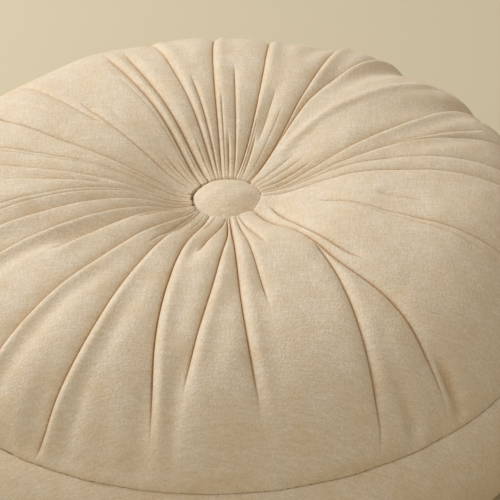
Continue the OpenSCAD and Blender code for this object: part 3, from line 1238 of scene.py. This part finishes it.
@dataclass
class SideBand:
    """The velvet band between the faces, joined end to end at one place."""

    outline: PadOutline
    join_angle: float = 258.0
    join_depth: float = 0.7
    join_width: float = 1.1
    join_shade: float = 0.35
    slack_depth: float = 0.5
    slack_width: float = 7.0
    lump_h: float = 0.9
    rows: int = 61
    column_count: int = 900
    cloth_t: float = 1.2

    def surface(self) -> tuple[np.ndarray, np.ndarray]:
        """The band's arc carried round the cushion, with soft lumps, drawn in at its seams and its join.

        The join is a groove, e to the minus distance over its width, in a wider slack of the same kind, with
        painted shade along the groove.

        Returns:
            Rows by columns of points from the top seam down, and the crease shade of each.
        """
        line = self.outline.band_line(np.linspace(0, 1, self.rows))
        r, z = line[:, :1], line[:, 1:]
        turn = full_turn(self.column_count)
        away = z[0] - z, z - z[-1]
        swayed = self.outline.sway(ring_points(r, turn, z))
        placed = np.arctan2(swayed[..., 1], swayed[..., 0])
        u = np.abs((placed - math.radians(self.join_angle) + np.pi) % (2 * np.pi) - np.pi) * r
        groove = np.exp(-((u / self.join_width) ** 1.3))
        seam = SeamPull(self.outline.seam_r)
        pull = seam.depth(turn, *away) + self.join_depth * groove + self.slack_depth * np.exp(-u / self.slack_width)
        free = np.minimum(1, np.minimum(*away) / 14)
        pull -= self.lump_h * waves(SEED + 8, turn * 180, z, 150, 60) * free
        # painted shade in the join's groove and along both seams
        shade = np.maximum(self.join_shade * groove, seam.shade(turn, *away))
        return self.outline.sway(ring_points(r - pull, turn, z)), shade

    def build(self, finishes: Finishes) -> bpy.types.Object:
        """Makes and dresses the band."""
        piece = velvet_sheet("side_band_velvet", *self.surface(), self.cloth_t)
        finishes.dress(piece, "velvet", "side_band")
        finishes.repaint("thread", "band_join_thread", "closing_stitches")
        return piece


@dataclass
class CoveredButton:
    """A domed button covered in velvet, with its shell, back plate and wire shank inside."""

    outline: PadOutline
    top: bool
    columns: int = 192
    rim_h: float = 4.0
    dome_h: float = 5.5
    rim_bulge: float = 1.0
    dent_h: float = 0.22
    pleat_h: float = 0.16
    under_shade: float = 0.4
    cloth_t: float = 1.0
    hem_w: float = 5.0

    def cover_line(self, inset: float) -> np.ndarray:
        """The cover's line from the pole over the dome, round the rim and under to the hem.

        The dome is an arc through its middle and its rim. The rim is a quarter turn with a small bulge.

        Args:
            inset: how far the line lies inside the cover's outside.

        Returns:
            Radius and height above the seat of each point.
        """
        rim_r = self.outline.button_r
        dome_r = rim_r - self.rim_bulge
        arc_r = (dome_r**2 + self.dome_h**2) / (2 * self.dome_h)
        r = (dome_r - inset) * np.linspace(0, 1, 37)[1:]
        top = self.rim_h + self.dome_h - arc_r + np.sqrt((arc_r - inset) ** 2 - r**2)
        side_z = np.linspace(top[-1], inset, 14)[1:]
        bulge = np.sin(np.pi * np.clip((top[-1] - side_z) / (top[-1] - inset + 0.6), 0, 1)) ** 0.8
        side_r = dome_r - inset + bulge * self.rim_bulge
        hem_r = np.linspace(side_r[-1], rim_r - self.hem_w, 8)[1:]
        return np.stack(
            [np.concatenate([r, side_r, hem_r]), np.concatenate([top, side_z, np.full(len(hem_r), inset)])], -1
        )

    def build(self, finishes: Finishes) -> bpy.types.Object:
        """Makes the cover as one closed skin, outside and inside, and dresses what is inside it."""
        outer, inner = self.cover_line(0.0), self.cover_line(self.cloth_t)[::-1]
        line = np.concatenate([outer, inner])
        turn = full_turn(self.columns)
        r, z = line[:, :1], line[:, 1:]
        outside = (np.arange(len(line)) < len(outer))[:, None]
        near_rim = smooth_step(r, 0.7 * self.outline.button_r, self.outline.button_r)
        seed = SEED + (30 if self.top else 31)
        x, y = r * np.cos(turn), r * np.sin(turn)
        dent = self.dent_h * waves(seed, x, y, 26, 9)
        pleat = self.pleat_h * near_rim * waves(seed + 5, turn * 60, 0 * turn, 30, 7)
        lift = np.where(outside & (z > 2.0), dent, 0.0)
        new_r = r + np.where(outside, pleat, 0.0) * (z < self.rim_h + 1.5)
        seat = self.outline.top_seat_z if self.top else self.outline.bottom_seat_z
        up = 1.0 if self.top else -1.0
        ring = ring_points(new_r, turn, seat + up * (z + lift))
        arc_top = self.rim_h + self.dome_h
        poles = np.array([[0, 0, seat + up * (arc_top + lift[0].mean())], [0, 0, seat + up * (arc_top - self.cloth_t)]])
        rows = len(line)
        points = np.concatenate([ring.reshape(-1, 3), poles])
        first = np.arange(self.columns)
        last = (rows - 1) * self.columns + first
        faces = [
            ring_quads(rows, self.columns, flip=not self.top),
            pole_fan(rows * self.columns, first, flip=not self.top),
            pole_fan(rows * self.columns + 1, last, flip=self.top),
        ]
        side = "top" if self.top else "bottom"
        piece = make_piece(f"{side}_button_velvet", points, faces)
        # painted shade on the cover's lowest 2 mm, darker towards the seat
        under = self.under_shade * np.clip((2.0 - z) / 2.0, 0, 1) * np.ones_like(turn)
        paint(piece, "crease", np.concatenate([under.ravel(), [0, 0]]))
        finishes.dress(piece, "velvet", f"{side}_button_cover")
        finishes.repaint("button_metal", f"{side}_button_shell", f"{side}_button_back")
        finishes.repaint("shank_wire", f"{side}_button_shank")
        return piece


@dataclass
class RimStitches:
    """The lockstitch thread of a rim seam: it dips into the cloth at each stitch."""

    outline: PadOutline
    top: bool
    pitch: float = 5.6
    thread_r: float = 0.3
    depth: float = 0.75
    dip: float = 0.3
    per_stitch: int = 8
    sides: int = 6

    def build(self, finishes: Finishes) -> bpy.types.Object:
        """Makes the thread as a tube along a wavy ring.

        The ring's radius dips by a raised sine, once for each stitch. On the bottom seam the thread
        stops at both ends of the opening that is sewn shut by hand.
        """
        z = self.outline.top_seam_z if self.top else self.outline.bottom_seam_z
        span = 360.0 if self.top else 320.0
        start = 0.0 if self.top else 110.0
        stitches = round(math.radians(span) * self.outline.seam_r / self.pitch)
        count = stitches * self.per_stitch + (0 if self.top else 1)
        turn = np.radians(start + np.linspace(0, span, count, endpoint=not self.top))[:, None]
        wave = np.sin(np.pi * np.linspace(0, stitches, count, endpoint=not self.top))[:, None] ** 2
        centre = self.outline.seam_r - self.depth - self.dip * (1 - wave)
        grid = thread_rings(centre, turn, z, self.thread_r, self.sides)
        points = grid.reshape(-1, 3)
        if self.top:
            faces = [closed_tube(count, self.sides)]
        else:
            faces = [
                ring_quads(count, self.sides, flip=True),
                pole_fan(count * self.sides, np.arange(self.sides), flip=True),
                pole_fan(count * self.sides + 1, (count - 1) * self.sides + np.arange(self.sides)),
            ]
            points = np.concatenate([points, grid[[0, -1]].mean(1)])
        side = "top" if self.top else "bottom"
        piece = make_piece(f"{side}_rim_stitches", self.outline.sway(points), faces)
        return finishes.dress(piece, "thread", f"{side}_seam_thread")


@dataclass
class Insides:
    """What the velvet holds: the cotton lining in two halves, and the fibre."""

    outline: PadOutline
    lining_depth: float = 10.5
    lining_t: float = 0.6
    fill_depth: float = 11.7
    wrinkle_h: float = 0.35
    lump_h: float = 0.8
    channel_r: float = 4.0
    columns: int = 144
    rows: int = 61
    thread_r: float = 0.25
    stitch_pitch: float = 3.0
    per_stitch: int = 8
    sides: int = 6

    def lining_half(self, finishes: Finishes, top: bool) -> bpy.types.Object:
        """Makes one half of the lining as a closed sheet, just inside the deepest crease.

        Args:
            finishes: the finishes.
            top: whether it is the top half.

        Returns:
            The piece.
        """
        line = self.outline.inset_line(top, self.rows, self.channel_r + 1.0, self.lining_depth)
        middle = self.outline.middle_z
        line[:, 1] = np.maximum(line[:, 1], middle + 0.3) if top else np.minimum(line[:, 1], middle - 0.3)
        turn = full_turn(self.columns)
        wrinkle = self.wrinkle_h * waves(SEED + 50 + top, turn * 90, line[:, :1], 60, 12)
        r = line[:, :1] + wrinkle * (line[:, :1] > 20)
        points = self.outline.sway(ring_points(r, turn, line[:, 1:]))
        if not top:
            points = points[:, ::-1]
        if len(points) % 2 == 0:
            points = points[1:]
        side = "top" if top else "bottom"
        piece = make_piece(f"{side}_lining_cloth", *sheet_with_back(points, self.lining_t))
        return finishes.dress(piece, "lining", f"lining_{side}")

    def joining_thread(self, finishes: Finishes) -> bpy.types.Object:
        """Makes the thread that joins the halves: a closed tube at mid height that weaves in and out."""
        seam_r = self.outline.band_r - self.lining_depth
        stitches = round(2 * np.pi * seam_r / self.stitch_pitch)
        turn = full_turn(self.per_stitch * stitches).T
        centre = seam_r + self.lining_t / 2 * np.cos(turn * stitches)
        tube = self.outline.sway(thread_rings(centre, turn, self.outline.middle_z, self.thread_r, self.sides))
        piece = make_piece("lining_stitches", tube.reshape(-1, 3), [closed_tube(len(turn), self.sides)])
        return finishes.dress(piece, "thread", "lining_thread")

    def fibre(self, finishes: Finishes) -> bpy.types.Object:
        """Makes the fibre as one closed lumpy ring round the cord's channel."""
        upper = self.outline.inset_line(True, self.rows, self.channel_r + 2.0, self.fill_depth)
        lower = self.outline.inset_line(False, self.rows, self.channel_r + 2.0, self.fill_depth)[::-1]
        wall = np.stack([np.full(9, self.channel_r + 2.0), np.linspace(lower[-1, 1], upper[0, 1], 11)[1:-1]], -1)
        line = np.concatenate([upper, lower[1:], wall])
        turn = full_turn(self.columns)
        r, z = line[:, :1], line[:, 1:]
        lump = np.abs(waves(SEED + 60, r * np.cos(turn), r * np.sin(turn), 60, 20)) * (r > 30)
        points = self.outline.sway(ring_points(r - self.lump_h * lump, turn, z))
        closed = np.concatenate([points, points[:1]])
        quads = ring_quads(len(closed), self.columns) % (len(points) * self.columns)
        piece = make_piece("fibre_body", points.reshape(-1, 3), [quads])
        finishes.dress(piece, "fill", "fibre_fill")
        return piece

    def build(self, finishes: Finishes) -> None:
        """Makes the lining and the fibre, and dresses the CAD threads and cord that stay."""
        self.lining_half(finishes, True)
        self.lining_half(finishes, False)
        self.joining_thread(finishes)
        self.fibre(finishes)
        finishes.repaint("thread", "top_gather_thread", "bottom_gather_thread")
        finishes.repaint("cord", "tufting_cord")


# ---------------------------------------------------------------- studio


@dataclass
class Studio:
    """Plain paper floor, a big soft light from behind on the left, a dim one from the front, the camera."""

    target: Vector = field(default_factory=lambda: Vector((11.7, 0.0, 101.2)) * MM)
    distance: float = 1.034
    elevation: float = 37.87
    roll: float = -1.38
    lens: float = 134.0
    floor_r: float = 9.0

    def build(self) -> None:
        """Makes the floor, the lights and the camera."""
        self.floor()
        self.light("key_softbox", (-1.25, 0.95, 1.2), 1.0, 28.0, "#f8faff")
        self.light("fill_softbox", (-0.8, -0.9, 1.8), 1.2, 9.0, "#f8f5f4")
        world = bpy.data.worlds.new("studio_air")
        world.use_nodes = True
        sky = world.node_tree.nodes["Background"]
        sky.inputs["Color"].default_value = linear("#fff3de")
        sky.inputs["Strength"].default_value = 0.43
        bpy.context.scene.world = world
        bpy.context.scene.view_settings.view_transform = "Standard"
        self.camera()

    def floor(self) -> None:
        """Makes the floor as a disc of rings that grow outwards."""
        rows, columns = 24, 96
        r = self.floor_r / MM * np.linspace(0.02, 1, rows)[:, None] ** 2
        flat = np.concatenate([ring_points(r, full_turn(columns), 0 * r).reshape(-1, 3), [[0, 0, 0]]])
        faces = [ring_quads(rows, columns), pole_fan(rows * columns, np.arange(columns))]
        floor = make_piece("studio_floor", flat, faces)
        floor.data.materials.append(StudioPaper().make())

    def light(self, name: str, place: tuple[float, float, float], size: float, power: float, tint: str) -> None:
        """Adds a square soft light that faces the cushion.

        Args:
            name: its name.
            place: where it stands, in metres.
            size: its side, in metres.
            power: its power, in watts.
            tint: its colour.
        """
        lamp = bpy.data.lights.new(name, "AREA")
        lamp.size = size
        lamp.energy = power
        lamp.color = linear(tint)[:3]
        holder = bpy.data.objects.new(name, lamp)
        holder.location = place
        holder.rotation_euler = (Vector((0, 0, 0.1)) - Vector(place)).to_track_quat("-Z", "Y").to_euler()
        bpy.context.scene.collection.objects.link(holder)

    def camera(self) -> None:
        """Places the camera in front, above, turned slightly about its own axis."""
        tilt = math.radians(self.elevation)
        place = self.target + self.distance * Vector((0, -math.cos(tilt), math.sin(tilt)))
        camera = bpy.data.cameras.new("studio_camera")
        camera.lens = self.lens
        camera.sensor_width = 36.0
        holder = bpy.data.objects.new("studio_camera", camera)
        facing = (self.target - place).to_track_quat("-Z", "Y").to_matrix().to_4x4()
        holder.matrix_world = Matrix.Translation(place) @ facing @ Matrix.Rotation(math.radians(self.roll), 4, "Z")
        bpy.context.scene.collection.objects.link(holder)
        bpy.context.scene.camera = holder


def main() -> None:
    """Builds the cushion from the outside in, then the studio."""
    logging.basicConfig(level=logging.INFO, format="%(name)s: %(message)s")
    outline = PadOutline.from_frame()
    finishes = Finishes()
    top = GatherPattern(outline, TOP_CREASES, TOP_HOLLOWS)
    bottom = GatherPattern(
        outline, plain_creases(SEED + 90, 30), seed=SEED + 91, step_angles=(0, 180), steps=(9.0, 9.0)
    )
    GatheredFace(outline, top, top=True).build(finishes)
    GatheredFace(outline, bottom, top=False, rows=109, column_count=640).build(finishes)
    SideBand(outline).build(finishes)
    for is_top in (True, False):
        CoveredButton(outline, is_top).build(finishes)
        RimStitches(outline, is_top).build(finishes)
    Insides(outline).build(finishes)
    Studio().build()


if __name__ == "__main__":
    main()
